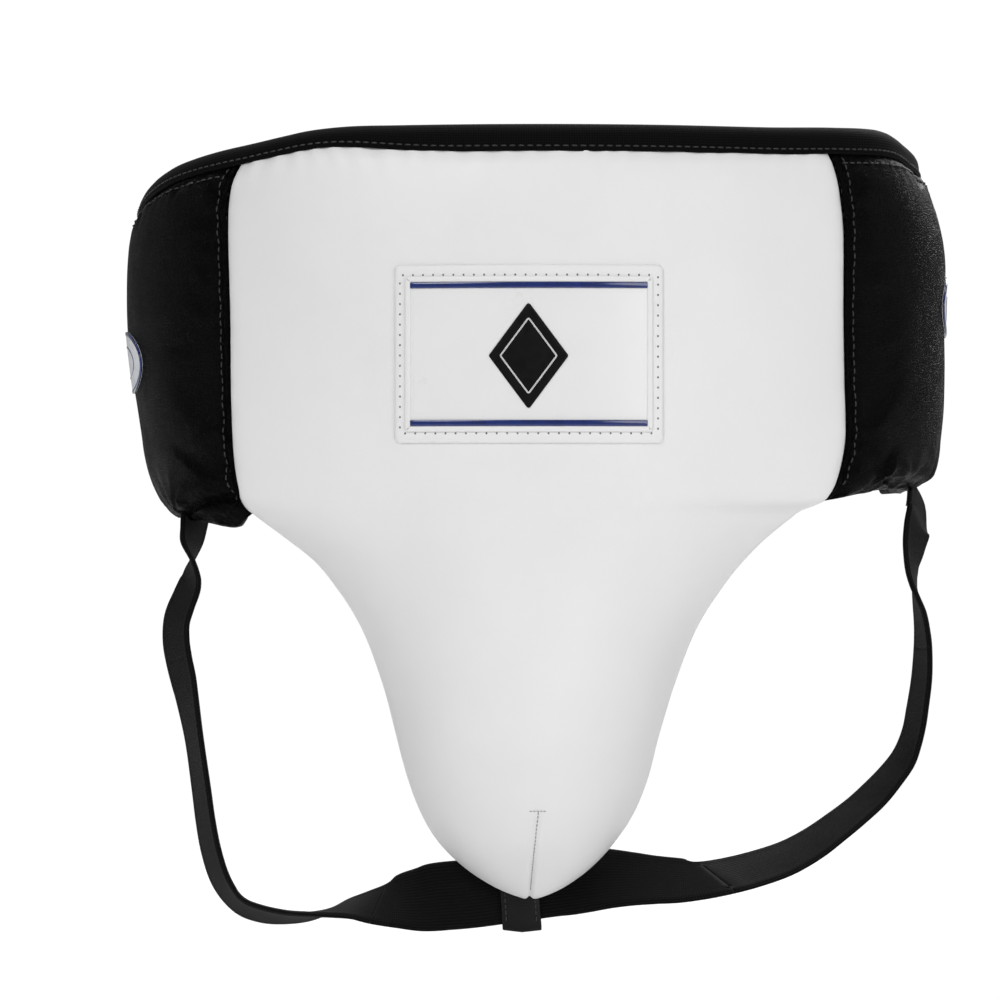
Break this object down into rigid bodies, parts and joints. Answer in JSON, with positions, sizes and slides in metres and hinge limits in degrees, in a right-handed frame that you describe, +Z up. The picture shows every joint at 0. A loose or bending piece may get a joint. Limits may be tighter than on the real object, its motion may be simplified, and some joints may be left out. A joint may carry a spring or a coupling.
{
  "type": "groin protector",
  "caption": "Padded boxing groin protector: front panel narrowing to a rigid cup, hip pads, hinged wings with elastic rear closure, and an elastic leg strap in a keeper.",
  "frame": {"origin": "middle of the waist opening, level with the highest point of the front's top edge", "axes": "+Z up, -Y out of the front, +X towards the wearer's left"},
  "size_m": [0.3704, 0.2761, 0.3496],
  "materials": {
    "white_leather": "smooth, fine grain, satin",
    "black_leather": "grained, satin",
    "keeper_leather": "polished",
    "binding_tape": "woven tape",
    "elastic_webbing": "ribbed elastic",
    "lining_cloth": "smooth woven nylon",
    "foam": "closed-cell foam",
    "board": "dense foam board",
    "cup_plastic": "moulded",
    "gasket_rubber": "soft",
    "label_face": "smooth film",
    "navy_bar": "glossy",
    "emblem_ink": "satin print",
    "badge": "satin, navy rim",
    "pile_loop": "loop pile",
    "pile_hook": "hook pile"
  },
  "bodies": {
    "front": {"front_cover": "white_leather", "outer_foam": "foam", "belly_board": "board", "cup_shell": "cup_plastic", "cup_gasket": "gasket_rubber", "inner_foam": "foam", "front_lining": "lining_cloth", "label_patch": "white_leather", "label_frame": "white_leather", "label_face": "label_face", "label_bar_upper": "navy_bar", "label_bar_lower": "navy_bar", "label_emblem": "emblem_ink", "front_binding": "binding_tape", "strap_keeper": "keeper_leather", "strap_middle": "elastic_webbing", "right_hip_cover": "black_leather", "right_hip_foam": "foam", "right_hip_lining": "lining_cloth", "right_hip_binding": "binding_tape", "right_seam_welt": "black_leather", "right_badge": "badge", "right_strap_top": "elastic_webbing", "left_hip_cover": "black_leather", "left_hip_foam": "foam", "left_hip_lining": "lining_cloth", "left_hip_binding": "binding_tape", "left_seam_welt": "black_leather", "left_badge": "badge", "left_strap_top": "elastic_webbing"},
    "right_wing": {"right_wing_cover": "black_leather", "right_wing_foam": "foam", "right_wing_lining": "lining_cloth", "right_wing_binding": "binding_tape", "receiving_band": "elastic_webbing", "loop_patch": "pile_loop"},
    "left_wing": {"left_wing_cover": "black_leather", "left_wing_foam": "foam", "left_wing_lining": "lining_cloth", "left_wing_binding": "binding_tape", "closure_stub": "elastic_webbing"},
    "closure_strap": {"closure_elastic": "elastic_webbing", "hook_patch": "pile_hook", "pull_tab": "keeper_leather"},
    "right_leg_strap": {"right_strap_upper_twist": "elastic_webbing", "right_strap_loop": "elastic_webbing", "right_strap_lower_twist": "elastic_webbing"},
    "left_leg_strap": {"left_strap_upper_twist": "elastic_webbing", "left_strap_loop": "elastic_webbing", "left_strap_lower_twist": "elastic_webbing"}
  },
  "joints": [
    {"name": "left_wing_spread", "type": "hinge", "parent": "front", "child": "left_wing", "pos_m": [0.1755, 0.0525, -0.085], "axis": [0, 0, -1], "range_deg": [0, 35], "stiffness_Nm_per_rad": 0.4},
    {"name": "right_wing_spread", "type": "hinge", "parent": "front", "child": "right_wing", "pos_m": [-0.1755, 0.0525, -0.085], "axis": [0, 0, 1], "range_deg": [0, 35], "stiffness_Nm_per_rad": 0.4},
    {"name": "closure_peel", "type": "hinge", "parent": "left_wing", "child": "closure_strap", "pos_m": [0.101, 0.1153, -0.0875], "axis": [0, 0, -1], "range_deg": [0, 120], "stiffness_Nm_per_rad": 0.03},
    {"name": "right_leg_swing", "type": "hinge", "parent": "front", "child": "right_leg_strap", "pos_m": [-0.066, -0.0872, -0.3363], "axis": [0.484, -0.1607, -0.8602], "range_deg": [-15, 75], "deforming": ["right_strap_upper_twist", "right_strap_lower_twist"]},
    {"name": "left_leg_swing", "type": "hinge", "parent": "front", "child": "left_leg_strap", "pos_m": [0.08, -0.0872, -0.3248], "axis": [0.4966, 0.3536, 0.7927], "range_deg": [-15, 75], "deforming": ["left_strap_upper_twist", "left_strap_lower_twist"]}
  ],
  "couplings": [
    {"joint": "right_wing_spread", "follows": "left_wing_spread", "ratio": 1}
  ]
}
